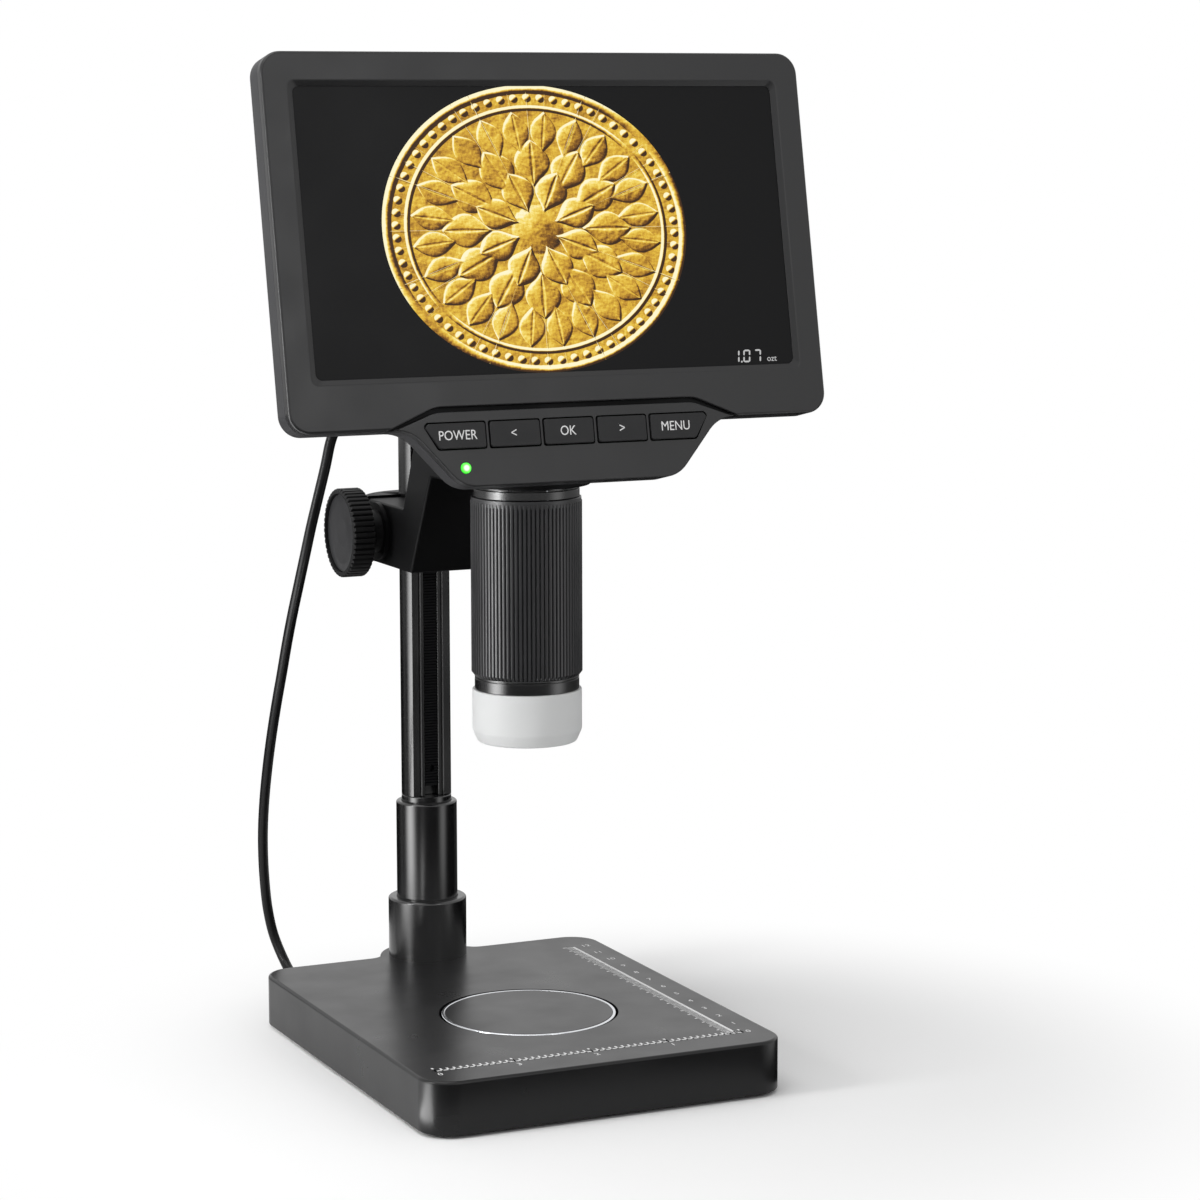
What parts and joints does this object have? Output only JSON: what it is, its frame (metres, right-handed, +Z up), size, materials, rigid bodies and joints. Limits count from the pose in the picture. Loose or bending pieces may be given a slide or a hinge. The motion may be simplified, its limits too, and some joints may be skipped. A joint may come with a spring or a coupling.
{
  "type": "lcd digital microscope",
  "caption": "Desk microscope: a tilting screen with a key row over a ribbed focus barrel, on a rack-and-pinion column above a flat base with a weighing pan.",
  "frame": {"origin": "middle of the footprint of everything but the free lead, on the plane under the feet", "axes": "+Z up along the column and the optical axis; the screen and the pan side face -Y; +X to the right of someone who reads the screen"},
  "size_m": [0.1754, 0.1741, 0.3149],
  "materials": {
    "base_coat": "satin black powder coat",
    "column_coat": "satin black, smooth",
    "bracket_coat": "black anodised, satin",
    "black_plastic": "fine matt black",
    "shell_plastic": "fine matt dark grey",
    "bezel_plastic": "satin dark grey",
    "key_plastic": "satin charcoal",
    "screen": "glossy dark screen window",
    "lens": "coated lens",
    "frosted": "frosted white diffuser",
    "light_pipe": "clear green light pipe",
    "rubber": "black rubber",
    "lead_jacket": "black PVC, satin",
    "steel": "plain steel",
    "dark_steel": "blackened steel",
    "bright_ring": "polished ring",
    "pan_metal": "satin black disc",
    "alloy": "plain aluminium",
    "module_plate": "bare sheet back of the screen module",
    "brass": "plain bearing bronze",
    "nylon": "natural nylon",
    "board_green": "solder mask",
    "board_white": "white solder mask",
    "cell_wrap": "foil pouch"
  },
  "bodies": {
    "base": {"base_housing": "base_coat", "base_cover": "dark_steel", "feet": "rubber", "cover_screws": "steel", "load_cell": "alloy", "load_cell_screws": "steel", "base_board": "board_green", "base_gland": "rubber", "collar": "base_coat", "sleeve": "column_coat", "column": "column_coat", "rack": "dark_steel", "rack_screws": "steel", "column_bolt": "steel", "column_cap": "black_plastic", "lead": "lead_jacket"},
    "pan": {"pan_disc": "pan_metal", "pan_ring": "bright_ring", "pan_carrier": "alloy"},
    "carriage": {"bracket": "bracket_coat", "camera_board": "board_green", "lens_barrel": "bracket_coat", "barrel_screws": "steel", "lamp_collar": "black_plastic", "lamp_board": "board_white", "diffuser_cap": "frosted", "brake_pad": "nylon", "brake_screw": "dark_steel", "shaft_bushes": "brass", "bracket_gland": "rubber"},
    "pinion": {"pinion_shaft": "steel", "pinion_gear": "brass", "knob_left": "black_plastic", "knob_right": "black_plastic", "knob_caps": "bezel_plastic"},
    "display": {"rear_shell": "shell_plastic", "front_bezel": "bezel_plastic", "control_panel": "bezel_plastic", "screen_glass": "screen", "lcd_module": "module_plate", "main_board": "board_green", "battery_pack": "cell_wrap", "key_board": "board_green", "key_switches": "board_white", "status_light": "light_pipe", "shell_screws": "steel", "hinge_plate": "dark_steel", "hinge_plate_screws": "steel", "hinge_pin": "steel", "hinge_washers": "brass"},
    "focus_ring": {"focus_ring": "bracket_coat"},
    "lens_cell": {"lens_cell": "black_plastic", "lens_glass": "lens", "drive_pin": "steel"},
    "key_power": {"key_power": "key_plastic"},
    "key_left": {"key_left": "key_plastic"},
    "key_ok": {"key_ok": "key_plastic"},
    "key_right": {"key_right": "key_plastic"},
    "key_menu": {"key_menu": "key_plastic"}
  },
  "joints": [
    {"name": "pan_press", "type": "slide", "parent": "base", "child": "pan", "axis": [0, 0, -1], "range_m": [0, 0.0003], "stiffness_N_per_m": 20000},
    {"name": "height_slide", "type": "slide", "parent": "base", "child": "carriage", "axis": [0, 0, 1], "range_m": [-0.08, 0.035]},
    {"name": "pinion_spin", "type": "hinge", "parent": "carriage", "child": "pinion", "pos_m": [0, 0.05305, 0.1625], "axis": [1, 0, 0], "range_deg": [-340, 770]},
    {"name": "display_tilt", "type": "hinge", "parent": "carriage", "child": "display", "pos_m": [0, -0.02055, 0.213], "axis": [-1, 0, 0], "range_deg": [-5, 30]},
    {"name": "focus_turn", "type": "hinge", "parent": "carriage", "child": "focus_ring", "pos_m": [0, -0.02055, 0.15], "axis": [0, 0, 1], "range_deg": [-120, 150]},
    {"name": "lens_travel", "type": "slide", "parent": "carriage", "child": "lens_cell", "axis": [0, 0, 1], "range_m": [-0.0081, 0.0101]},
    {"name": "press_power", "type": "slide", "parent": "display", "child": "key_power", "axis": [0, 0.9799, -0.1994], "range_m": [0, 0.00035], "stiffness_N_per_m": 800},
    {"name": "press_left", "type": "slide", "parent": "display", "child": "key_left", "axis": [0, 0.9799, -0.1994], "range_m": [0, 0.00035], "stiffness_N_per_m": 800},
    {"name": "press_ok", "type": "slide", "parent": "display", "child": "key_ok", "axis": [0, 0.9799, -0.1994], "range_m": [0, 0.00035], "stiffness_N_per_m": 800},
    {"name": "press_right", "type": "slide", "parent": "display", "child": "key_right", "axis": [0, 0.9799, -0.1994], "range_m": [0, 0.00035], "stiffness_N_per_m": 800},
    {"name": "press_menu", "type": "slide", "parent": "display", "child": "key_menu", "axis": [0, 0.9799, -0.1994], "range_m": [0, 0.00035], "stiffness_N_per_m": 800}
  ],
  "couplings": [
    {"joint": "pinion_spin", "follows": "height_slide", "rad_per_m": -166.67},
    {"joint": "lens_travel", "follows": "focus_turn", "m_per_rad": 0.0038197}
  ]
}
